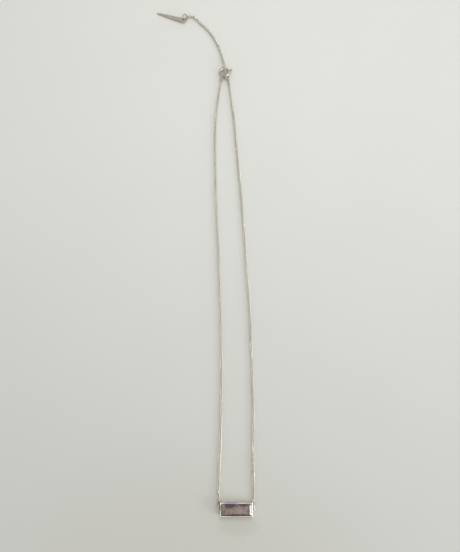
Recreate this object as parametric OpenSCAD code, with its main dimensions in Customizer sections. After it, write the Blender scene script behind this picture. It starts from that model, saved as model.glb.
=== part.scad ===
// Bar pendant necklace laid out on a flat surface: a step-cut stone in a silver box setting,
// a fine cable chain from both ends of the bar, a spring ring clasp closed on a hook ring,
// and an extender chain that ends in a slim spike charm.
// Millimetres. +Z is up, the surface is z = 0, and the origin is the middle of the setting's back.

/* [Setting] */
// Length of the setting along the bar
setting_len = 15; // [14:0.5:18]
// Width of the setting across the bar
setting_wid = 6.1; // [5:0.1:7]
// Height of the rim above the back
rim_h = 2.9; // [2.8:0.1:4]
// Thickness of the wall beside the stone's girdle
wall_t = 0.35; // [0.35:0.05:0.6]
// Rounding of the setting's upright corners
corner_r = 0.35; // [0.2:0.05:0.6]
// Thickness of the back plate
back_t = 0.5; // [0.4:0.1:0.8]

/* [Stone] */
// Height of the stone's table above the rim
table_rise = 0.45; // [0.2:0.05:0.8]
// Clearance all round the stone in its seat
stone_gap = 0.05; // [0.05:0.01:0.1]

/* [Chain] */
// Outer length of one chain link
link_len = 2.3; // [2.2:0.05:2.5]
// Outer width of one chain link
link_wid = 1.45; // [1.4:0.05:1.6]
// Wire of the chain links
link_wire = 0.36; // [0.3:0.02:0.4]
// Outer size of the two long strands
strand_d = 1.3; // [1.1:0.1:1.5]

/* [Clasp] */
// Mean radius of the spring ring
clasp_r = 2.4; // [2.2:0.1:2.8]
// Radius of the spring ring's tube
tube_r = 0.6; // [0.55:0.05:0.65]
// How far the trigger slides round the ring, in degrees
trigger_travel = 45; // [30:1:45]
// Mean radius of the hook ring that the clasp closes on
hook_ring_r = 1.5; // [1.45:0.05:1.6]

/* [Spike charm] */
// Length of the spike from its tip to its rounded end
spike_len = 16.6; // [12:0.2:20]
// Width of the spike at its rounded end
spike_wid = 2.1; // [2.1:0.1:2.6]
// Width of the spike at its tip
spike_tip = 0.8; // [0.4:0.1:1.2]
// Thickness of the spike
spike_t = 0.5; // [0.4:0.05:0.6]

/* [Hidden] */

silver = [0.86, 0.86, 0.85];
mauve = [0.53, 0.46, 0.44];
$fn = 40;
overcut = 1;

// Stone: [inset from the girdle on every side, height above the girdle's lower edge],
// from the culet face up to the table
INSET = 0;
RISE = 1;
girdle_t = 0.25;
stone_steps = [[1.9, -1.3], [0.95, -0.85], [0, 0], [0, girdle_t], [0.2, 0.65], [1, 1.2]];
stone_top = rim_h + table_rise;
girdle_z = stone_top - stone_steps[len(stone_steps) - 1][RISE];
girdle_size = [setting_len - 2 * (wall_t + stone_gap), setting_wid - 2 * (wall_t + stone_gap)];

// Ledge that the stone's underside sits on, and the lip over its edge
ledge_w = 0.45;
ledge_z = girdle_z - 0.45;
lip_z = girdle_z + girdle_t + 0.2;
lip_reach = 0.08;

// Soldered loop at each end of the bar
loop_r = 0.6;
loop_wire = 0.4;
loop_z = 1.7;
loop_sunk = 0.1;
loop_x = setting_len / 2 + loop_r - loop_sunk;

// Jump rings between those loops and the chain, each leaning on the surface
jump_r = 1.1;
jump_wire = 0.4;
jump_pitch = asin((loop_z - jump_r - jump_wire / 2) / jump_r);
jump_roll = 8;

// Small jump rings at the top ends of the strands
end_ring_r = 1;
end_ring_wire = 0.36;
end_ring_play = 0.17;
end_ring_drop = 0.8;

strand_sides = 8;

// Routes of the strands' middle lines on the surface, from the pendant to the clasp: [x, y]
strand_z = strand_d / 2 * cos(180 / strand_sides);
left_route = [[-8.5, 2.6], [-8.2, 12], [-7.8, 22], [-7.4, 33], [-7.1, 45], [-7, 57],
    [-7.1, 69], [-7.3, 80], [-7.7, 93], [-8.2, 106], [-8.7, 119], [-9.3, 132], [-9.9, 145],
    [-10.4, 158], [-10.7, 171], [-10.8, 183], [-10.5, 194], [-9.7, 203], [-8.6, 211],
    [-7.9, 216.2]];
right_route = [[8.2, 2.6], [8, 12], [7.9, 22], [8, 33], [8.2, 43], [8, 54],
    [7.8, 65], [7.3, 76], [7, 88], [6.3, 100], [5.5, 111], [4.9, 122], [4.1, 134],
    [3.2, 146], [2.3, 158], [1.3, 169], [0.4, 180], [-0.6, 192], [-2.1, 205], [-3.6, 215.9]];

// Clasp: its middle, and the angles round it, anticlockwise from +X
clasp_at = [-5.9, 221.6];
hook_angle = -63;
eye_angle = -115;
gap_from = 40;
gap_to = 80;
tip_angle = 86;
knob_angle = 19;
tail_angle = -24;
eye_r = 0.65;
eye_wire = 0.44;
eye_sunk = 0.2;
eye_out = clasp_r + tube_r + eye_r - eye_sunk;

// Trigger: a wire that slides inside the tube, with a knob outside it
bore_r = 0.4;
bore_behind_tail = 3;
bore_past_tip = 4;
tongue_r = 0.32;
stem_r = 0.16;
slot_half = stem_r + 0.07;
slot_end = 5;
knob_out = 3.75;
knob_r = 0.5;
knob_t = 0.6;

// Hook ring: it leans on the surface, and the clasp's tube goes through its middle
hook_wire = 0.45;
hook_lean = 45;
hook_dir = [cos(hook_angle), sin(hook_angle), 0];
hook_side = [-sin(hook_angle), cos(hook_angle), 0];
hook_z = hook_ring_r * cos(hook_lean) + hook_wire / 2;
clasp_tilt = asin((hook_z - tube_r) / (2 * clasp_r));
clasp_z = tube_r + clasp_r * sin(clasp_tilt);
hook_at = [clasp_at.x, clasp_at.y, 0] + clasp_r * cos(clasp_tilt) * hook_dir + [0, 0, hook_z];

// Extender: its middle line, from the hook ring over the clasp's far side and down to the surface
link_roll = 45;
bow_r = (link_wid - link_wire) / 2;
rest_gap = 0.006;
rest_z = bow_r * sin(link_roll) + link_wire / 2 + rest_gap;
link_gap = 0.174;
link_pitch = link_len - 2 * link_wire - link_gap;
extender_links = 32;
extender_route = [[-5.3, 219.6, 0.85], [-5.5, 220.75, 1.25], [-5.7, 222.3, 1.7], [-5.85, 224.1, 1.95],
    [-6.15, 226, 1.6], [-6.6, 228.1, 0.95], [-7.2, 230.5, 0.6], [-8.1, 234, rest_z],
    [-9.4, 237.6, rest_z], [-11.1, 241.3, rest_z], [-13.4, 245, rest_z], [-16.1, 248.5, rest_z],
    [-19.1, 251.3, rest_z], [-20.7, 253.2, rest_z], [-22.5, 254.95, rest_z], [-24.1, 255.8, 0.63],
    [-25.6, 255.7, 0.92], [-26.75, 255.15, 0.8]];
first_link_at = 1.7;

// Spike charm and its ring: the ring leans, and the spike's hole is on its lower outer side
spike_ring_r = 1.6;
spike_ring_wire = 0.44;
spike_ring_lean = 30;
spike_ring_heading = 57;
spike_ring_at = [-27.85, 254.35, spike_ring_r * cos(spike_ring_lean) + spike_ring_wire / 2];
spike_hole_r = 0.58;
spike_heading = -18.7;
spike_hole_at = [-28.6, 252.95, 1.3];
spike_hole_in = spike_wid / 2;
spike_tilt = asin((spike_hole_at.z - spike_t / 2) / (spike_len - spike_hole_in));

// A point and its heading on a smooth curve through a list of points (Catmull-Rom)
function clamped(list, i) = list[max(0, min(len(list) - 1, i))];
function spline(list, t) =
    let (i = min(floor(t), len(list) - 2), u = t - i,
        a = clamped(list, i - 1), b = list[i], c = list[i + 1], d = clamped(list, i + 2))
    0.5 * (2 * b + (c - a) * u + (2 * a - 5 * b + 4 * c - d) * u * u
        + (3 * b - a - 3 * c + d) * u * u * u);
function unit(v) = v / norm(v);

// Places along a curve at equal steps: each is the curve's parameter
curve_step = 0.02;
function advance(list, t, left) =
    let (hop = norm(spline(list, t + curve_step) - spline(list, t)))
    hop >= left ? t + curve_step * left / hop : advance(list, t + curve_step, left - hop);
function places(list, t, step, count) =
    count == 0 ? [] : concat([t], places(list, advance(list, t, step), step, count - 1));

module ring(mean_r, wire) {
    rotate_extrude() translate([mean_r, 0]) circle(d = wire);
}

module arc_tube(mean_r, radius, from, to) {
    rotate([0, 0, from]) rotate_extrude(angle = to - from) translate([mean_r, 0]) circle(r = radius);
}

// Puts its children, drawn in the XY plane with +X ahead, at a place with a heading and a roll
module along(at, ahead, roll) {
    x = unit(ahead);
    side = unit(cross([0, 0, 1], x));
    up = cross(x, side);
    y = cos(roll) * side + sin(roll) * up;
    z = cross(x, y);
    multmatrix([[x.x, y.x, z.x, at.x], [x.y, y.y, z.y, at.y], [x.z, y.z, z.z, at.z], [0, 0, 0, 1]])
        children();
}

module rounded_plate(length, width, radius, height) {
    linear_extrude(height = height) {
        square([length - 2 * radius, width], center = true);
        square([length, width - 2 * radius], center = true);
        for (sx = [-1, 1], sy = [-1, 1])
            translate([sx * (length / 2 - radius), sy * (width / 2 - radius)]) circle(r = radius);
    }
}

module pocket(length, width, from, to) {
    translate([-length / 2, -width / 2, from]) cube([length, width, to - from]);
}

module setting() {
    seat = girdle_size + 2 * [stone_gap, stone_gap];
    color(silver) {
        difference() {
            rounded_plate(setting_len, setting_wid, corner_r, rim_h);
            pocket(seat.x - 2 * ledge_w, seat.y - 2 * ledge_w, back_t, girdle_z);
            pocket(seat.x, seat.y, ledge_z, lip_z);
            pocket(seat.x - 2 * lip_reach, seat.y - 2 * lip_reach, girdle_z, rim_h + overcut);
        }
        for (side = [-1, 1]) translate([side * loop_x, 0, loop_z]) ring(loop_r, loop_wire);
    }
}

// A faceted block with a flat table: four corners at every step, joined by flat facets
module stone() {
    corners = [for (s = stone_steps, c = [[-1, -1], [1, -1], [1, 1], [-1, 1]])
        [c.x * (girdle_size.x / 2 - s[INSET]), c.y * (girdle_size.y / 2 - s[INSET]), girdle_z + s[RISE]]];
    last = len(corners);
    sides = [for (level = [0 : len(stone_steps) - 2], k = [0 : 3])
        let (a = 4 * level + k, b = 4 * level + (k + 1) % 4) [a, a + 4, b + 4, b]];
    color(mauve)
        polyhedron(points = corners, faces = concat([[0, 1, 2, 3]], sides,
            [[last - 1, last - 2, last - 3, last - 4]]));
}

module jump_ring(side) {
    color(silver)
        translate([side * loop_x, 0, loop_z])
            rotate([-jump_pitch, 0, 0])
                translate([0, jump_r, 0])
                    rotate([0, side * jump_roll, 0])
                        rotate([0, 90, 0]) ring(jump_r, jump_wire);
}

// Swept tube of a strand: rings of corners at each route point and halfway between, closed by two end faces
module strand(route) {
    count = 2 * (len(route) - 1);
    rings = [for (i = [0 : count])
        let (t = i / 2, at = spline(route, t), near = 0.01,
            ahead = unit(spline(route, min(t + near, len(route) - 1)) - spline(route, max(t - near, 0))),
            side = [-ahead.y, ahead.x])
        [for (k = [0 : strand_sides - 1]) let (a = 360 * (k + 0.5) / strand_sides)
            [at.x + side.x * cos(a) * strand_d / 2, at.y + side.y * cos(a) * strand_d / 2,
                strand_z + sin(a) * strand_d / 2]]];
    skin = [for (i = [0 : count - 1], k = [0 : strand_sides - 1])
        let (a = i * strand_sides + k, b = i * strand_sides + (k + 1) % strand_sides)
        [a, b, b + strand_sides, a + strand_sides]];
    end = count * strand_sides;
    color(silver)
        polyhedron(points = [for (r = rings) each r], faces = concat(
            [[for (k = [strand_sides - 1 : -1 : 0]) k]], skin,
            [[for (k = [0 : strand_sides - 1]) end + k]]));
}

module in_clasp() {
    translate([clasp_at.x, clasp_at.y, clasp_z])
        rotate(a = clasp_tilt, v = [hook_dir.y, -hook_dir.x, 0]) children();
}

module clasp_case() {
    slot_from = knob_angle - trigger_travel - slot_end;
    slot_to = knob_angle + slot_end;
    color(silver) in_clasp() {
        difference() {
            arc_tube(clasp_r, tube_r, gap_to, 360 + gap_from);
            arc_tube(clasp_r, bore_r, tail_angle - trigger_travel - bore_behind_tail, gap_from + overcut);
            arc_tube(clasp_r, bore_r, gap_to - overcut, tip_angle + bore_past_tip);
            rotate([0, 0, slot_from]) rotate_extrude(angle = slot_to - slot_from)
                translate([clasp_r, -slot_half]) square([2 * tube_r, 2 * slot_half]);
        }
        rotate([0, 0, eye_angle]) translate([eye_out, 0, 0]) ring(eye_r, eye_wire);
    }
}

module clasp_trigger() {
    color(silver) in_clasp() {
        arc_tube(clasp_r, tongue_r, tail_angle, tip_angle);
        rotate([0, 0, knob_angle]) {
            translate([clasp_r, 0, 0]) rotate([0, 90, 0]) cylinder(r = stem_r, h = knob_out - clasp_r);
            translate([knob_out, 0, 0]) intersection() {
                sphere(r = knob_r);
                cube([3 * knob_r, 3 * knob_r, knob_t], center = true);
            }
        }
    }
}

module hook_ring() {
    color(silver) along(hook_at, hook_dir, hook_lean - 90) ring(hook_ring_r, hook_wire);
}

// Top ring of the left strand: through the clasp's eye
module ring_left_top() {
    eye = [clasp_at.x, clasp_at.y, 0]
        + eye_out * cos(clasp_tilt) * [cos(eye_angle), sin(eye_angle), 0];
    ahead = unit([left_route[len(left_route) - 1].x, left_route[len(left_route) - 1].y, 0] - eye);
    color(silver)
        along(eye + end_ring_r * ahead + [0, 0, end_ring_r + end_ring_wire / 2], ahead, 90)
            ring(end_ring_r, end_ring_wire);
}

// Top ring of the right strand: on the outer side of the hook ring
module ring_right_top() {
    inside = (hook_wire + end_ring_wire) / 2 + end_ring_play;
    near = hook_at + (hook_ring_r - inside) * hook_dir;
    last = right_route[len(right_route) - 1];
    ahead = unit([last.x - near.x, last.y - near.y, -end_ring_drop]);
    color(silver) along(near + end_ring_r * ahead, ahead, hook_lean) ring(end_ring_r, end_ring_wire);
}

module chain_link() {
    straight = link_len - link_wid;
    for (turn = [0, 180]) rotate([0, 0, turn]) {
        translate([straight / 2, 0, 0]) arc_tube(bow_r, link_wire / 2, -90, 90);
        translate([-straight / 2, bow_r, 0]) rotate([0, 90, 0]) cylinder(d = link_wire, h = straight);
    }
}

module extender_chain() {
    spots = places(extender_route, advance(extender_route, 0, first_link_at), link_pitch, extender_links);
    reach = link_pitch / 20;
    color(silver)
        for (i = [0 : extender_links - 1])
            along(spline(extender_route, spots[i]),
                spline(extender_route, spots[i] + reach) - spline(extender_route, spots[i] - reach),
                i % 2 == 0 ? -link_roll : link_roll) chain_link();
}

module ring_spike() {
    color(silver)
        along(spike_ring_at, [cos(spike_ring_heading), sin(spike_ring_heading), 0], 90 - spike_ring_lean)
            ring(spike_ring_r, spike_ring_wire);
}

// Flat tapered bar with a rounded, drilled end; it rests on its tip and on its ring
module spike() {
    body = spike_len - spike_wid / 2 - spike_tip / 2;
    color(silver)
        translate(spike_hole_at) rotate([0, 0, spike_heading]) rotate([0, -spike_tilt, 0])
            translate([0, 0, -spike_t / 2]) difference() {
                linear_extrude(height = spike_t) {
                    circle(d = spike_wid);
                    translate([-body, 0]) circle(d = spike_tip);
                    polygon([[0, spike_wid / 2], [-body, spike_tip / 2],
                        [-body, -spike_tip / 2], [0, -spike_wid / 2]]);
                }
                translate([0, 0, -overcut]) cylinder(r = spike_hole_r, h = spike_t + 2 * overcut);
            }
}

setting();
stone();
jump_ring(-1);  // ring_left
jump_ring(1);  // ring_right
strand(left_route);  // chain_left
strand(right_route);  // chain_right
ring_left_top();
ring_right_top();
clasp_case();
clasp_trigger();
hook_ring();
extender_chain();
ring_spike();
spike();
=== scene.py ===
"""Looks of the bar pendant necklace: chain links, finishes, surface, light and camera.

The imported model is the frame. Everything is in its axes: +X along the bar, +Y from the pendant to
the clasp, +Z up, and the surface that the necklace lies on is z = 0. Sizes and places are in
millimetres, which MM turns into Blender's metres, and angles are in degrees. Colours are red, green
and blue, from 0 for black to 1 for white.
"""

from math import cos, pi, radians, sin, tau

import bmesh
import bpy
import numpy as np
from mathutils import Matrix, Vector


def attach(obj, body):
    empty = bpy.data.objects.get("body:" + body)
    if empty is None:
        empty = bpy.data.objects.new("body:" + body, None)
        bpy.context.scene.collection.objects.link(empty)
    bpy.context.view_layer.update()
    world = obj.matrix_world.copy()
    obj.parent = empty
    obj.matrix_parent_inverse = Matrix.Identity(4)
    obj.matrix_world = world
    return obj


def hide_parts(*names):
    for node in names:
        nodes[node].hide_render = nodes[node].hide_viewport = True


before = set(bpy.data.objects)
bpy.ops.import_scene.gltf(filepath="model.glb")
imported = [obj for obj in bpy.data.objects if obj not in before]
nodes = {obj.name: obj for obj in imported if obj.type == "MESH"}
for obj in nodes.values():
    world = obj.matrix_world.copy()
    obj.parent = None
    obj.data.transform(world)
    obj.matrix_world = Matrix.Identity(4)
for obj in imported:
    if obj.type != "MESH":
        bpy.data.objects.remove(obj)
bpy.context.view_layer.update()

MM = 0.001

# Chain link, as in the part's source, and how finely its wire is meshed
LINK_LEN = 2.3
LINK_WID = 1.45
LINK_WIRE = 0.36
LINK_BOW = (LINK_WID - LINK_WIRE) / 2
LINK_STRAIGHT = LINK_LEN - LINK_WID
WIRE_SIDES = 12
BOW_STEPS = 12

# How the links lie: at even steps along the strand, turned about it one way and the other in turn,
# each a little differently, with slow swings that come round after so many links
LINK_PITCH = 1.465
LINK_ROLL = 45
ROLL_JITTER = 10.0
ROLL_SWING = 10.0
SWING_PERIODS = (9.0, 14.0, 25.0)

# A link points along the line from this far behind its middle to as far ahead of it
HEADING_REACH = 0.35

# Height of a lying link's middle. Where the line is higher by HELD_UP, a ring holds the link up, and
# the heights of neighbours are evened out to this step in so many rounds.
LYING_Z = LINK_BOW * sin(radians(LINK_ROLL)) + LINK_WIRE / 2
HELD_UP = 0.02
HEIGHT_STEP = 0.1
HEIGHT_ROUNDS = 12

# Near the ends of a strand the links turn to hang in the rings, which fades over so many links
TWIST_FADE = 3.0

# The two strands, from the pendant to the clasp. start and end are each where the strand hangs in a
# ring and where it lies flat (x, y, z), and route is its middle line between them (x, y). gaps are
# from the line's two ends to the middles of the outermost links, and twists are how much further
# those links are turned. seed sets the irregularities.
STRANDS = {
    "left": {
        "start": [(-7.99, 2.03, 0.85), (-8.25, 5, LYING_Z)],
        "route": [
            (-8.2, 12), (-7.8, 22), (-7.4, 33), (-7.1, 45), (-7, 57), (-7.1, 69),
            (-7.3, 80), (-7.7, 93), (-8.2, 106), (-8.7, 119), (-9.3, 132), (-9.9, 145),
            (-10.4, 158), (-10.7, 171), (-10.8, 183), (-10.5, 194), (-9.7, 203), (-8.6, 211),
        ],
        "end": [(-8.25, 213.5, LYING_Z), (-7.8, 216.62, 0.85)],
        "gaps": (0.48, 0.48),
        "twists": (-38, -38),
        "seed": 3,
    },
    "right": {
        "start": [(7.99, 2.03, 0.85), (8.08, 5, LYING_Z)],
        "route": [
            (8, 12), (7.9, 22), (8, 33), (8.2, 43), (8, 54), (7.8, 65),
            (7.3, 76), (7, 88), (6.3, 100), (5.5, 111), (4.9, 122), (4.1, 134),
            (3.2, 146), (2.3, 158), (1.3, 169), (0.4, 180), (-0.6, 192), (-2.1, 205),
        ],
        "end": [(-3.3, 213.5, LYING_Z), (-3.86, 216.81, 0.75)],
        "gaps": (0.48, 0.54),
        "twists": (-38, 0),
        "seed": 8,
    },
}

# Setting, as in the part's source: outside, walls with a lip over the stone's edge, seat and back
SETTING_LEN = 15.0
SETTING_WID = 6.1
CORNER_R = 0.35
RIM_H = 2.9
WALL = 0.35
LIP_REACH = 0.08
LIP_Z = 2.6
LEDGE_W = 0.45
LEDGE_Z = 1.7
BACK = 0.5

# Rounding of the setting's foot and rim, and the least corner radius inside it
FOOT_R = 0.14
RIM_OUTER_R = 0.16
RIM_INNER_R = 0.05
LEAST_CORNER_R = 0.05
EDGE_STEPS = 5
CORNER_STEPS = 7

# Loop at the setting's right end, as in the part's source, sunk a little into the wall. The left end
# mirrors it.
LOOP_R = 0.6
LOOP_WIRE = 0.4
LOOP_SINK = 0.1
LOOP_AT = (SETTING_LEN / 2 + LOOP_R - LOOP_SINK, 0, 1.7)
LOOP_STEPS = 48
LOOP_SIDES = 20

# Drop of solder that holds the loop: its middle, half sizes and how often its faces are divided
SOLDER_SINK = 0.04
SOLDER_AT = (SETTING_LEN / 2 - SOLDER_SINK, 0, 1.68)
SOLDER_SIZE = (0.24, 0.46, 0.36)
SOLDER_DIVISIONS = 4

# Rounding of a CAD node's edges: points closer than WELD become one, and so do faces that meet at
# less than FLAT_ANGLE, and the edges sharper than ROUNDED_ANGLE are rounded
WELD = 0.0005
FLAT_ANGLE = 0.5
ROUNDED_ANGLE = 25

# Tinted places on the metal: (centre, half sizes, softness of the edge, tint). On the rim, the
# bluish place at the back is a painted reflection of the sky and the others make it darker; on
# the chain, the place about the bar is painted shade.
RIM_TINTS_AND_PAINTED_REFLECTION = [
    # Painted reflection of a blue sky on the back of the rim
    ((-2.0, 3.05, 2.7), (4.0, 0.5, 0.8), 0.4, (0.50, 0.56, 0.86)),
    ((0.0, -3.0, 2.8), (7.4, 0.35, 0.5), 0.5, (0.70, 0.68, 0.64)),
    ((-7.4, 0.9, 2.8), (0.4, 1.3, 0.6), 0.5, (0.55, 0.52, 0.48)),
    ((5.0, 3.0, 2.8), (2.2, 0.35, 0.5), 0.5, (0.72, 0.72, 0.68)),
]
# Painted shade: the chain is darker about the bar
CHAIN_PAINTED_SHADE = [((0.0, 2.0, 0.5), (40, 34, 20), 0.5, (0.80, 0.77, 0.73))]

# Silver finishes, in the terms that silver() explains
SILVERS = {
    "silver_chain": {
        "bright": (1.0, 0.985, 0.95), "tarnish": (0.46, 0.435, 0.385),
        "roughness": 0.09, "wear": 0.12, "grain": 0.010,
        "recess": 0.35, "clouds": 0.8, "mottle": 0.95, "tints_and_painted_light": CHAIN_PAINTED_SHADE, "glints": 18,
    },
    "silver_setting": {
        "bright": (0.95, 0.95, 0.93), "tarnish": (0.42, 0.38, 0.33),
        "roughness": 0.12, "wear": 0.12, "grain": 0.003, "tints_and_painted_light": RIM_TINTS_AND_PAINTED_REFLECTION,
    },
    "silver_rings": {
        "bright": (0.70, 0.67, 0.60), "tarnish": (0.24, 0.21, 0.17),
        "roughness": 0.18, "wear": 0.14, "grain": 0.004,
    },
    # A darkened copy of the silver for the spike's ring: painted shade
    "silver_painted_shade": {
        "bright": (0.38, 0.355, 0.30), "tarnish": (0.18, 0.165, 0.13),
        "roughness": 0.30, "wear": 0.14, "grain": 0.006,
    },
    "silver_spike": {
        "bright": (0.70, 0.66, 0.58), "tarnish": (0.34, 0.31, 0.25),
        "roughness": 0.24, "wear": 0.14, "grain": 0.006,
    },
}

# Finishes of the CAD nodes that are shown as they are
NODE_FINISHES = {
    # ring_right, which lies in the light, has the brighter silver of the setting and ring_left the darker
    # silver of the rings: painted light and shade
    "ring_left": "silver_rings",
    "ring_right": "silver_setting",
    "ring_left_top": "silver_rings",
    "ring_right_top": "silver_rings",
    "clasp_case": "silver_rings",
    "clasp_trigger": "silver_rings",
    "hook_ring": "silver_rings",
    "extender_chain": "silver_chain",
    # The spike's ring in the darkened copy of the silver: painted shade
    "ring_spike": "silver_painted_shade",
}

# Stone tones, and its cloudy places: (centre, half sizes, softness of the edge, strength, tone).
# The dark bands along the front bevel and the back bevel's right half are painted shade, and the
# near-white place on the right end is a painted highlight of the window.
STONE_TONES = {
    "dark": (0.092, 0.052, 0.052),
    "middle": (0.200, 0.142, 0.128),
    "pale": (0.310, 0.245, 0.205),
    "speck": (0.42, 0.34, 0.30),
    # Painted highlight: the window's reflection
    "painted_highlight": (0.88, 0.87, 0.85),
}
STONE_CLOUDS_AND_PAINTED_LIGHT = [
    ((1.7, -0.6, 3.3), (2.9, 1.4, 3), 0.5, 0.75, "pale"),
    ((-3.0, 1.6, 3.3), (2.4, 1.05, 3), 0.35, 1.0, "dark"),
    # Painted shade on the right half of the back bevel
    ((2.8, 2.1, 3.3), (2.2, 0.55, 3), 0.5, 0.85, "dark"),
    ((-5.7, -0.6, 3.3), (0.65, 0.85, 3), 0.5, 0.7, "dark"),
    ((-3.4, -0.3, 3.3), (1.9, 1.0, 3), 0.6, 0.28, "dark"),
    ((5.6, 0.2, 3.3), (0.5, 1.7, 3), 0.6, 0.4, "dark"),
    # Painted shade along the front bevel
    ((0, -2.45, 3.3), (7.2, 0.62, 3), 0.5, 0.85, "dark"),
    ((-6.7, 0.9, 3.0), (0.7, 1.7, 3), 0.4, 0.9, "pale"),
    # Painted highlight of the window on the stone's right end
    ((7.0, -0.2, 2.8), (0.32, 2.5, 1.2), 0.3, 1.0, "painted_highlight"),
]

# Surface that the necklace lies on: its half size, its height just below the links, its tones in
# front and at the back with the Y where each is reached, which paint the light darker towards the
# front, and those of its faint clouds and of the painted shade close to the necklace
SURFACE_HALF = 600
SURFACE_Z = -0.01
SURFACE_SHADED_FRONT = (0.640, 0.648, 0.616)
SURFACE_FRONT_Y = -50
SURFACE_LIT_BACK = (0.722, 0.732, 0.697)
SURFACE_BACK_Y = 215
SURFACE_CLOUD = (0.5, 0.5, 0.5)
SURFACE_PAINTED_CONTACT_SHADE = (0.62, 0.583, 0.48)

# Painted shade on the surface, in front and below the bar: (centre, half sizes, softness of the
# edge, strength, tone)
SURFACE_PAINTED_SHADE = [
    ((-20, -28, 0), (70, 42, 30), 0.8, 0.42, (0.565, 0.55, 0.508)),
    ((1, -7.5, 0), (9, 4.5, 5), 0.4, 0.35, (0.52, 0.50, 0.42)),
]

# Plain backdrop behind the surface, and the room that the metal mirrors. The room's tone changes
# from left to right between these X of the direction, and has patches: (direction, inner and outer
# angle, tone).
BACKDROP = (0.70, 0.71, 0.68)
ROOM_LEFT = (0.57, 0.56, 0.53)
ROOM_RIGHT = (0.98, 0.98, 0.96)
ROOM_SIDES = (-0.7, 0.7)
ROOM_PATCHES = [
    ((0.0, 0.0, 1.0), 20, 55, (0.56, 0.56, 0.54)),
    ((0.04, -0.275, 0.96), 8, 17, (1.02, 1.01, 0.97)),
    ((0.0, -1.0, 0.05), 15, 45, (0.08, 0.075, 0.07)),
    ((0.0, 0.80, 0.60), 5, 14, (0.26, 0.31, 0.50)),
]

# Soft lights: (name, place, point aimed at, width, height, power in watts, whether metal mirrors it)
SOFTBOXES = [
    ("overhead", (60, 320, 420), (0, 130, 0), 260, 260, 0.70, False),
    ("window", (588, -176, 201), (6, 0, 3), 200, 130, 1.15, True),
]

# Camera: height of the photograph and focal length, both in its pixels, then the sensor's height,
# the nearest distance that it shows, its place and its tilt from straight down
IMAGE_H = 552
FOCAL_PX = 481
SENSOR = 36.0
NEAR_CLIP = 5
CAMERA_AT = (-2.9, 67.36, 238.8)
CAMERA_TILT = 10

# Small lamps that light nothing matt and show only where they are mirrored. They are in a row on the
# right, about GLINT_SPREAD times as far from the strands as the camera is, and each is where the
# wires at one of these Y mirror it to the camera.
GLINT_PLACES = (29, 50, 76, 102, 127, 152, 178, 195)
GLINT_X = 420
GLINT_Z = 420
GLINT_SPREAD = 2.4
GLINT_SIZE = 20
GLINT_POWER = 0.13


def in_scene(name, data):
    """A new object with the data, in the scene."""
    made = bpy.data.objects.new(name, data)
    bpy.context.scene.collection.objects.link(made)
    return made


def mesh_piece(name, corners, faces):
    """A smooth-shaded object from corners, in millimetres, and faces."""
    mesh = bpy.data.meshes.new(name)
    faces = faces.tolist() if isinstance(faces, np.ndarray) else faces
    mesh.from_pydata((np.asarray(corners) * MM).tolist(), [], faces)
    mesh.polygons.foreach_set("use_smooth", np.ones(len(mesh.polygons), bool))
    return in_scene(name, mesh)


def shape_piece(name, shape):
    """An object from a bmesh, which is freed."""
    mesh = bpy.data.meshes.new(name)
    shape.to_mesh(mesh)
    shape.free()
    return in_scene(name, mesh)


def stands_for(piece, node, finish):
    """Gives a piece its finish, and shows it in the place of one of the necklace's CAD nodes."""
    piece.data.materials.clear()
    piece.data.materials.append(finish)
    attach(piece, "necklace")
    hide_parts(node)


def even_shading(piece, crisp):
    """Smooth shading that keeps flat faces flat and edges sharper than the angle crisp."""
    piece.data.polygons.foreach_set("use_smooth", np.ones(len(piece.data.polygons), bool))
    piece.data.set_sharp_from_angle(angle=radians(crisp))
    weighted = piece.modifiers.new("even shading", "WEIGHTED_NORMAL")
    weighted.keep_sharp = True


def united(piece, others):
    """Joins closed shapes into one closed mesh."""
    for other in others:
        join = piece.modifiers.new("join", "BOOLEAN")
        join.operation = "UNION"
        join.solver = "EXACT"
        join.object = other
    bpy.context.view_layer.update()
    whole = piece.evaluated_get(bpy.context.evaluated_depsgraph_get())
    piece.data = bpy.data.meshes.new_from_object(whole)
    piece.modifiers.clear()
    for other in others:
        bpy.data.objects.remove(other)


def wire_ring(path, wire, sides):
    """A wire bent along a closed flat path: corners, and faces of four corners."""
    path = np.asarray(path, float)
    ahead = np.roll(path, -1, axis=0) - np.roll(path, 1, axis=0)
    ahead /= np.linalg.norm(ahead, axis=1)[:, None]
    out = np.stack([ahead[:, 1], -ahead[:, 0]], axis=1)
    around = np.arange(sides) * tau / sides
    flat = path[:, None, :] + wire / 2 * np.cos(around)[None, :, None] * out[:, None, :]
    height = np.broadcast_to(wire / 2 * np.sin(around)[None, :, None], flat.shape[:2] + (1,))
    corners = np.concatenate([flat, height], axis=2).reshape(-1, 3)
    i, j = np.meshgrid(np.arange(len(path)), np.arange(sides), indexing="ij")
    i_next, j_next = (i + 1) % len(path), (j + 1) % sides
    faces = np.stack([i * sides + j, i_next * sides + j, i_next * sides + j_next, i * sides + j_next],
                     axis=-1)
    return corners, faces.reshape(-1, 4)


def stacked(rings):
    """A closed skin over rings of equally many points, with a flat face on both ends."""
    count = len(rings[0])
    last = count * (len(rings) - 1)
    corners = [point for ring in rings for point in ring]
    faces = [tuple(reversed(range(count))), tuple(range(last, last + count))]
    for low in range(0, last, count):
        for k in range(count):
            after = (k + 1) % count
            faces.append((low + k, low + after, low + count + after, low + count + k))
    return corners, faces


def arc(centre, radius, start, end, steps):
    """Points of a flat arc from one angle to another."""
    angles = np.radians(np.linspace(start, end, steps + 1))
    return [(centre[0] + radius * cos(a), centre[1] + radius * sin(a)) for a in angles]


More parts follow.
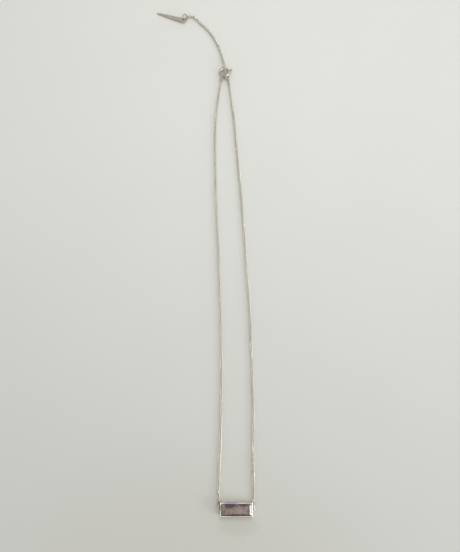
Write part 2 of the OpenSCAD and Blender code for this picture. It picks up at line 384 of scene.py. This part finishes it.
def rounded_outline(half_len, half_wid, radius, z):
    """A level rectangle with rounded corners, as a ring of points from the corner at +X, +Y."""
    points = []
    for quarter, (sx, sy) in enumerate(((1, 1), (-1, 1), (-1, -1), (1, -1))):
        centre = (sx * (half_len - radius), sy * (half_wid - radius))
        corner = arc(centre, radius, 90 * quarter, 90 * quarter + 90, CORNER_STEPS)
        points += [(x, y, z) for x, y in corner]
    return points


def spline(points, per_span=120):
    """A smooth curve through the points (Catmull-Rom), as a dense line of points."""
    p = np.array(points, float)
    p = np.vstack([p[0], p, p[-1]])
    u = np.linspace(0, 1, per_span, endpoint=False)[:, None]
    spans = []
    for a, b, c, d in zip(p, p[1:], p[2:], p[3:]):
        spans.append(0.5 * (2 * b + (c - a) * u + (2 * a - 5 * b + 4 * c - d) * u**2
                            + (3 * b - a - 3 * c + d) * u**3))
    return np.vstack(spans + [p[-1:]])


def lengths_along(line):
    """How far along a line each of its points is."""
    return np.concatenate([[0], np.cumsum(np.linalg.norm(np.diff(line, axis=0), axis=1))])


def sampled(line, lengths):
    """Points of a line at the given lengths along it."""
    along = lengths_along(line)
    return np.stack([np.interp(lengths, along, line[:, k]) for k in range(3)], axis=1)


def link_mesh():
    """One chain link about its own middle."""
    bow = np.linspace(-pi / 2, pi / 2, BOW_STEPS + 1)
    right = np.stack([LINK_STRAIGHT / 2 + LINK_BOW * np.cos(bow), LINK_BOW * np.sin(bow)], axis=1)
    middle = [[0, LINK_BOW]]
    return wire_ring(np.vstack([right, middle, -right, np.negative(middle)]), LINK_WIRE, WIRE_SIDES)


def link_rolls(count, twists, seed):
    """How far each link is turned about the strand."""
    k = np.arange(count)
    near_start = np.exp(-k / TWIST_FADE)
    near_end = np.exp((k + 1 - count) / TWIST_FADE)
    chance = np.random.default_rng(seed)
    jitter = chance.uniform(-ROLL_JITTER, ROLL_JITTER, count)
    for period in SWING_PERIODS:
        jitter += ROLL_SWING * np.sin(tau * (k / period + chance.random()))
    free = np.maximum(1 - near_start - near_end, 0)
    in_turn = np.where(k % 2 == 0, LINK_ROLL, -LINK_ROLL)
    return in_turn + jitter * free + twists[0] * near_start + twists[1] * near_end


def link_heights(line_z, roll):
    """Heights of the links' middles: each link lies on the surface, except where a ring holds it up."""
    resting = LINK_BOW * np.abs(np.sin(np.radians(roll))) + LINK_WIRE / 2
    height = np.where(line_z > LYING_Z + HELD_UP, np.maximum(line_z, resting), resting)
    for _ in range(HEIGHT_ROUNDS):
        height[:-1] = np.maximum(height[:-1], height[1:] - HEIGHT_STEP)
        height[1:] = np.maximum(height[1:], height[:-1] - HEIGHT_STEP)
    return height


def link_axes(ahead, roll):
    """Axes of each link: +X ahead along the strand, turned about it by its roll."""
    x = ahead / np.linalg.norm(ahead, axis=1)[:, None]
    side = np.cross([0.0, 0.0, 1.0], x)
    side /= np.linalg.norm(side, axis=1)[:, None]
    up = np.cross(x, side)
    turn = np.radians(roll)[:, None]
    y = np.cos(turn) * side + np.sin(turn) * up
    return np.stack([x, y, np.cross(x, y)], axis=1)


def lay_links(start, route, end, gaps, twists, seed):
    """Places and axes of all links of a strand, which is given as in STRANDS."""
    line = spline(start + [(x, y, LYING_Z) for x, y in route] + end)
    total = lengths_along(line)[-1]
    count = round((total - sum(gaps)) / LINK_PITCH) + 1
    lengths = np.linspace(gaps[0], total - gaps[1], count)
    places = sampled(line, lengths)
    ahead = sampled(line, lengths + HEADING_REACH) - sampled(line, lengths - HEADING_REACH)
    roll = link_rolls(count, twists, seed)
    places[:, 2] = link_heights(places[:, 2], roll)
    return places, link_axes(ahead, roll)


def strand(side, finish):
    """All links of a strand as one piece, none of them below the surface."""
    places, axes = lay_links(**STRANDS[side])
    corners, faces = link_mesh()
    laid = places[:, None, :] + np.einsum("ck,nkj->ncj", corners, axes)
    sunk = np.minimum(laid[:, :, 2].min(axis=1), 0)
    laid[:, :, 2] -= sunk[:, None]
    offsets = np.arange(len(places))[:, None, None] * len(corners)
    piece = mesh_piece(f"chain_{side}_links", laid.reshape(-1, 3), (faces[None] + offsets).reshape(-1, 4))
    stands_for(piece, f"chain_{side}", finish)


def setting_shell():
    """Walls with a rounded rim over the stone's edge, a seat and a back: corners and faces."""
    rim_w = WALL + LIP_REACH
    profile = arc((FOOT_R, FOOT_R), FOOT_R, 270, 180, EDGE_STEPS)
    profile += arc((RIM_OUTER_R, RIM_H - RIM_OUTER_R), RIM_OUTER_R, 180, 90, EDGE_STEPS)
    profile += arc((rim_w - RIM_INNER_R, RIM_H - RIM_INNER_R), RIM_INNER_R, 90, 0, EDGE_STEPS)
    profile += [(rim_w, LIP_Z), (WALL, LIP_Z), (WALL, LEDGE_Z), (WALL + LEDGE_W, LEDGE_Z),
                (WALL + LEDGE_W, BACK)]
    rings = []
    for inset, z in profile:
        corner_r = max(CORNER_R - inset, LEAST_CORNER_R)
        rings.append(rounded_outline(SETTING_LEN / 2 - inset, SETTING_WID / 2 - inset, corner_r, z))
    return stacked(rings)


def solder_drop(centre):
    """The drop of solder that holds a loop."""
    shape = bmesh.new()
    bmesh.ops.create_icosphere(shape, subdivisions=SOLDER_DIVISIONS, radius=1)
    shape.transform(Matrix.Translation(Vector(centre) * MM)
                    @ Matrix.Diagonal((*(Vector(SOLDER_SIZE) * MM), 1)))
    return shape_piece("solder", shape)


def soldered_loops():
    """The loops at the setting's ends, each with its solder."""
    angles = np.linspace(0, tau, LOOP_STEPS, endpoint=False)
    path = LOOP_R * np.stack([np.cos(angles), np.sin(angles)], axis=1)
    corners, faces = wire_ring(path, LOOP_WIRE, LOOP_SIDES)
    made = []
    for side in (-1, 1):
        mirrored = np.array([side, 1, 1])
        made.append(mesh_piece("loop", corners + mirrored * LOOP_AT, faces))
        made.append(solder_drop(mirrored * SOLDER_AT))
    return made


def box_setting(finish):
    """The setting with its loops, as one solid."""
    piece = mesh_piece("bar_setting", *setting_shell())
    united(piece, soldered_loops())
    even_shading(piece, crisp=40)
    stands_for(piece, "setting", finish)


def softened(name, node, finish, width, steps):
    """A copy of a CAD node with its sharp edges rounded, which is shown in the node's place."""
    shape = bmesh.new()
    shape.from_mesh(nodes[node].data)
    bmesh.ops.remove_doubles(shape, verts=shape.verts, dist=WELD * MM)
    bmesh.ops.dissolve_limit(shape, angle_limit=radians(FLAT_ANGLE), verts=shape.verts, edges=shape.edges)
    sharp = [edge for edge in shape.edges
             if len(edge.link_faces) == 2 and edge.calc_face_angle() > radians(ROUNDED_ANGLE)]
    bmesh.ops.bevel(shape, geom=sharp, offset=width * MM, segments=steps, profile=0.5,
                    affect="EDGES", clamp_overlap=True)
    piece = shape_piece(name, shape)
    even_shading(piece, crisp=60)
    stands_for(piece, node, finish)


class Tree:
    """A tree of shader nodes, with short calls for what the finishes and the room share."""

    def __init__(self, owner):
        owner.use_nodes = True
        self.tree = owner.node_tree
        self.tree.nodes.clear()

    def node(self, kind, **values):
        """A new node, with some of its own values set."""
        made = self.tree.nodes.new(kind)
        for key, value in values.items():
            setattr(made, key, value)
        return made

    def feed(self, socket, value):
        """Gives an input a number, a colour or another node's output."""
        if isinstance(value, tuple):
            socket.default_value = (*value, 1)
        elif isinstance(value, (int, float)):
            socket.default_value = value
        else:
            self.tree.links.new(value, socket)

    def span(self, value, low, high, to_low=0.0, to_high=1.0):
        """The value's range low..high, taken smoothly to another range and held at its ends."""
        made = self.node("ShaderNodeMapRange", interpolation_type="SMOOTHSTEP")
        self.feed(made.inputs["Value"], value)
        for key, end in (("From Min", low), ("From Max", high), ("To Min", to_low), ("To Max", to_high)):
            made.inputs[key].default_value = end
        return made.outputs["Result"]

    def blend(self, amount, low, high, mode="MIX"):
        """A mix of two colours, by an amount from 0 to 1."""
        made = self.node("ShaderNodeMix", data_type="RGBA", blend_type=mode)
        self.feed(made.inputs["Factor"], amount)
        self.feed(made.inputs[6], low)
        self.feed(made.inputs[7], high)
        return made.outputs[2]

    def maths(self, operation, a, b):
        """A sum, product or the like of two values."""
        made = self.node("ShaderNodeMath", operation=operation)
        self.feed(made.inputs[0], a)
        self.feed(made.inputs[1], b)
        return made.outputs[0]

    def times(self, a, b):
        """The product of two values."""
        return self.maths("MULTIPLY", a, b)

    def vector_maths(self, operation, place, by=None, output="Vector"):
        """An operation on a place, some of them with a vector of fixed numbers."""
        made = self.node("ShaderNodeVectorMath", operation=operation)
        self.feed(made.inputs[0], place)
        if by is not None:
            made.inputs[1].default_value = by
        return made.outputs[output]

    def axis(self, place, letter):
        """One of a place's numbers: X, Y or Z."""
        made = self.node("ShaderNodeSeparateXYZ")
        self.feed(made.inputs[0], place)
        return made.outputs[letter]


class Finish(Tree):
    """A material: its shader, and calls for the noise, spots, recesses and bumps in its looks."""

    def __init__(self, name):
        self.material = bpy.data.materials.new(name)
        super().__init__(self.material)
        self.shader = self.node("ShaderNodeBsdfPrincipled")
        self.feed(self.node("ShaderNodeOutputMaterial").inputs["Surface"], self.shader.outputs[0])
        self.place = self.node("ShaderNodeTexCoord").outputs["Object"]

    def look(self, key, value):
        """Sets one of the shader's inputs."""
        self.feed(self.shader.inputs[key], value)

    def noise(self, size, detail=3.0, roughness=0.5, distortion=0.0, at=None):
        """Noise whose grains are about `size` millimetres across."""
        made = self.node("ShaderNodeTexNoise")
        self.feed(made.inputs["Vector"], at or self.place)
        made.inputs["Scale"].default_value = 1 / (size * MM)
        made.inputs["Detail"].default_value = detail
        made.inputs["Roughness"].default_value = roughness
        made.inputs["Distortion"].default_value = distortion
        return made.outputs["Fac"]

    def stretched(self, scale, turn):
        """The object's coordinates, scaled by axis and turned about Z."""
        made = self.node("ShaderNodeMapping")
        made.inputs["Scale"].default_value = scale
        made.inputs["Rotation"].default_value = (0, 0, radians(turn))
        self.feed(made.inputs["Vector"], self.place)
        return made.outputs["Vector"]

    def spot(self, centre, size, edge, ragged=0.0):
        """One inside an ellipsoid with these half sizes, fading to nothing over its edge."""
        offset = self.vector_maths("SUBTRACT", self.place, [c * MM for c in centre])
        scaled = self.vector_maths("DIVIDE", offset, [s * MM for s in size])
        away = self.vector_maths("LENGTH", scaled, output="Value")
        if ragged:
            uneven = self.noise(size=0.7, detail=4, roughness=0.6)
            uneven = self.span(uneven, low=0.3, high=0.7, to_low=-ragged, to_high=ragged)
            away = self.maths("ADD", away, uneven)
        return self.span(away, low=1 - edge, high=1 + edge, to_low=1, to_high=0)

    def recess(self, distance, samples=6):
        """One where the surface is open, less in corners and under neighbouring pieces."""
        made = self.node("ShaderNodeAmbientOcclusion", samples=samples)
        made.inputs["Distance"].default_value = distance * MM
        return made.outputs["AO"]

    def bump(self, height, depth, strength):
        """Bumps of the given depth in millimetres."""
        made = self.node("ShaderNodeBump")
        self.feed(made.inputs["Height"], height)
        made.inputs["Distance"].default_value = depth * MM
        made.inputs["Strength"].default_value = strength
        self.look("Normal", made.outputs["Normal"])


def silver(name, bright, tarnish, roughness, wear, grain, recess=0.8, clouds=0.9, mottle=0.45, tints_and_painted_light=(),
           glints=0):
    """Polished silver with tarnish in its recesses, partly painted shade, and in clouds, fine scratches
    and tinted places, with painted shade and a painted reflection among them.

    bright and tarnish are its colours, roughness is the least roughness, wear is what rubbing adds
    to it, and grain is the depth of the scratches. Tarnish reaches as far out of a corner as recess,
    where it is partly painted shade, its clouds are about as wide as clouds, and mottle is their
    strength. tints_and_painted_light lists tinted places, which include painted shade and a painted
    reflection. glints is the size of the areas that are smoother than the rest, or 0 for none.
    """
    finish = Finish(name)
    finish.look("Metallic", 1)
    cloud = finish.noise(size=clouds, detail=4, roughness=0.65)
    cloud = finish.span(cloud, low=0.42, high=0.66)
    colour = finish.blend(finish.times(cloud, mottle), bright, tarnish)
    # Tinted places, among them painted shade and a painted reflection
    for centre, size, edge, tint in tints_and_painted_light:
        colour = finish.blend(finish.spot(centre, size, edge, ragged=0.3), colour, tint, "MULTIPLY")
    # Tarnish in recesses: partly the patina that silver gathers there, partly painted shade where links
    # and parts shade each other
    bare_and_unshaded = finish.span(finish.recess(recess), low=0.15, high=0.85)
    finish.look("Base Color", finish.blend(bare_and_unshaded, tarnish, colour))
    rubbed = finish.noise(size=0.5, detail=5, roughness=0.6)
    rough = finish.span(rubbed, low=0.3, high=0.75, to_low=roughness, to_high=roughness + wear)
    if glints:
        smoother = finish.noise(size=glints, detail=2)
        smoother = finish.span(smoother, low=0.46, high=0.56, to_low=1, to_high=0.5)
        rough = finish.times(rough, smoother)
    finish.look("Roughness", rough)
    scratches = finish.noise(size=0.25, at=finish.stretched(scale=(1, 6, 6), turn=20))
    finish.bump(scratches, depth=grain, strength=0.5)
    return finish.material


def dusky_stone():
    """Polished mauve stone: clouded and veined, with fine specks and a few paler places, painted
    shade on its bevels and a painted highlight on its right end.
    """
    finish = Finish("dusky_stone")
    cloud = finish.noise(size=2.6, detail=5, roughness=0.6, distortion=0.6)
    cloud = finish.span(cloud, low=0.36, high=0.62)
    colour = finish.blend(cloud, STONE_TONES["middle"], STONE_TONES["pale"])
    # Cloudy places, painted shade on the bevels and a painted highlight on the right end
    for centre, size, edge, strength, tone in STONE_CLOUDS_AND_PAINTED_LIGHT:
        amount = finish.times(finish.spot(centre, size, edge, ragged=0.5), strength)
        colour = finish.blend(amount, colour, STONE_TONES[tone])
    veins = finish.noise(size=0.9, detail=6, roughness=0.7, distortion=1.2)
    veins = finish.span(veins, low=0.52, high=0.66, to_high=0.5)
    colour = finish.blend(veins, colour, STONE_TONES["dark"])
    specks = finish.noise(size=0.16, detail=2)
    specks = finish.span(specks, low=0.62, high=0.72, to_high=0.35)
    colour = finish.blend(specks, colour, STONE_TONES["speck"])
    finish.look("Base Color", colour)
    rubbed = finish.noise(size=0.7, detail=4)
    finish.look("Roughness", finish.span(rubbed, low=0.3, high=0.75, to_low=0.07, to_high=0.16))
    finish.look("IOR", 1.55)
    finish.look("Subsurface Weight", 0.12)
    finish.look("Subsurface Scale", 0.5 * MM)
    finish.bump(finish.noise(size=0.8), depth=0.004, strength=0.4)
    return finish.material


def pale_surface():
    """Matt, pale, faintly uneven surface, with painted light and shade: darker in front, and warmer
    and darker close to the necklace.
    """
    finish = Finish("pale_surface")
    cloud = finish.noise(size=60)
    # Painted light: darker towards the front, lighter towards the back
    painted_light_farther = finish.span(finish.axis(finish.place, "Y"), SURFACE_FRONT_Y * MM, SURFACE_BACK_Y * MM)
    colour = finish.blend(painted_light_farther, SURFACE_SHADED_FRONT, SURFACE_LIT_BACK)
    colour = finish.blend(finish.span(cloud, low=0.3, high=0.7, to_high=0.04), colour, SURFACE_CLOUD)
    # Painted shade in front and below the bar
    for centre, size, edge, strength, tone in SURFACE_PAINTED_SHADE:
        colour = finish.blend(finish.times(finish.spot(centre, size, edge), strength), colour, tone)
    # Painted shade: warmer and darker where the necklace is close
    painted_contact_shade = finish.recess(distance=12, samples=8)
    painted_contact_shade = finish.span(painted_contact_shade, low=0.5, high=0.97, to_low=0.8, to_high=0)
    finish.look("Base Color", finish.blend(painted_contact_shade, colour, SURFACE_PAINTED_CONTACT_SHADE))
    finish.look("Roughness", finish.span(cloud, low=0.3, high=0.7, to_low=0.75, to_high=0.85))
    finish.look("Specular IOR Level", 0.25)
    finish.bump(finish.noise(size=0.6, detail=4, roughness=0.6), depth=0.02, strength=0.3)
    return finish.material


def necklace():
    """Shows every piece of the necklace in its finish."""
    finishes = {name: silver(name, **looks) for name, looks in SILVERS.items()}
    for side in STRANDS:
        strand(side, finishes["silver_chain"])
    box_setting(finishes["silver_setting"])
    softened("bar_stone", "stone", dusky_stone(), width=0.03, steps=2)
    softened("spike_charm", "spike", finishes["silver_spike"], width=0.05, steps=3)
    for node, name in NODE_FINISHES.items():
        nodes[node].data.materials.clear()
        nodes[node].data.materials.append(finishes[name])


def surface():
    """The surface that the necklace lies on."""
    sides = ((-1, -1), (1, -1), (1, 1), (-1, 1))
    corners = [(x * SURFACE_HALF, y * SURFACE_HALF, SURFACE_Z) for x, y in sides]
    piece = mesh_piece("surface", corners, [(0, 1, 2, 3)])
    piece.data.materials.append(pale_surface())


def room():
    """Soft surroundings: a pale room that is lighter on the right, with a few patches."""
    world = bpy.data.worlds.new("room")
    bpy.context.scene.world = world
    walls = Tree(world)
    towards = walls.node("ShaderNodeTexCoord").outputs["Generated"]
    rightward = walls.span(walls.axis(towards, "X"), *ROOM_SIDES)
    colour = walls.blend(rightward, ROOM_LEFT, ROOM_RIGHT)
    for direction, inner, outer, tone in ROOM_PATCHES:
        facing = walls.vector_maths("DOT_PRODUCT", towards, Vector(direction).normalized(), "Value")
        patch = walls.span(facing, cos(radians(outer)), cos(radians(inner)))
        colour = walls.blend(patch, colour, tone)
    seen = walls.node("ShaderNodeLightPath").outputs["Is Camera Ray"]
    background = walls.node("ShaderNodeBackground")
    walls.feed(background.inputs["Color"], walls.blend(seen, colour, BACKDROP))
    walls.feed(walls.node("ShaderNodeOutputWorld").inputs["Surface"], background.outputs[0])


def softbox(name, at, aim, width, height, power, mirrored, lights_matt=True):
    """A soft area light at a place, turned towards another."""
    lamp = bpy.data.lights.new(name, "AREA")
    lamp.shape = "RECTANGLE"
    lamp.size = width * MM
    lamp.size_y = height * MM
    lamp.energy = power
    made = in_scene(name, lamp)
    made.location = Vector(at) * MM
    made.rotation_euler = (Vector(aim) - Vector(at)).to_track_quat("-Z", "Y").to_euler()
    made.visible_glossy = mirrored
    made.visible_diffuse = lights_matt


def lights():
    """The soft lights, and the small lamps that make the chain glint."""
    for box in SOFTBOXES:
        softbox(*box)
    for place in GLINT_PLACES:
        at = (GLINT_X, place + GLINT_SPREAD * (place - CAMERA_AT[1]), GLINT_Z)
        softbox("glint", at, (0, place, 0), GLINT_SIZE, GLINT_SIZE, GLINT_POWER, mirrored=True,
                lights_matt=False)


def camera():
    """The photograph's view."""
    lens = bpy.data.cameras.new("camera")
    lens.sensor_fit = "VERTICAL"
    lens.sensor_height = SENSOR
    lens.lens = FOCAL_PX / IMAGE_H * SENSOR
    lens.clip_start = NEAR_CLIP * MM
    made = in_scene("camera", lens)
    made.location = Vector(CAMERA_AT) * MM
    made.rotation_euler = (radians(CAMERA_TILT), 0, 0)
    bpy.context.scene.camera = made


necklace()
surface()
room()
lights()
camera()
bpy.context.scene.view_settings.view_transform = "Standard"

bpy.context.view_layer.update()
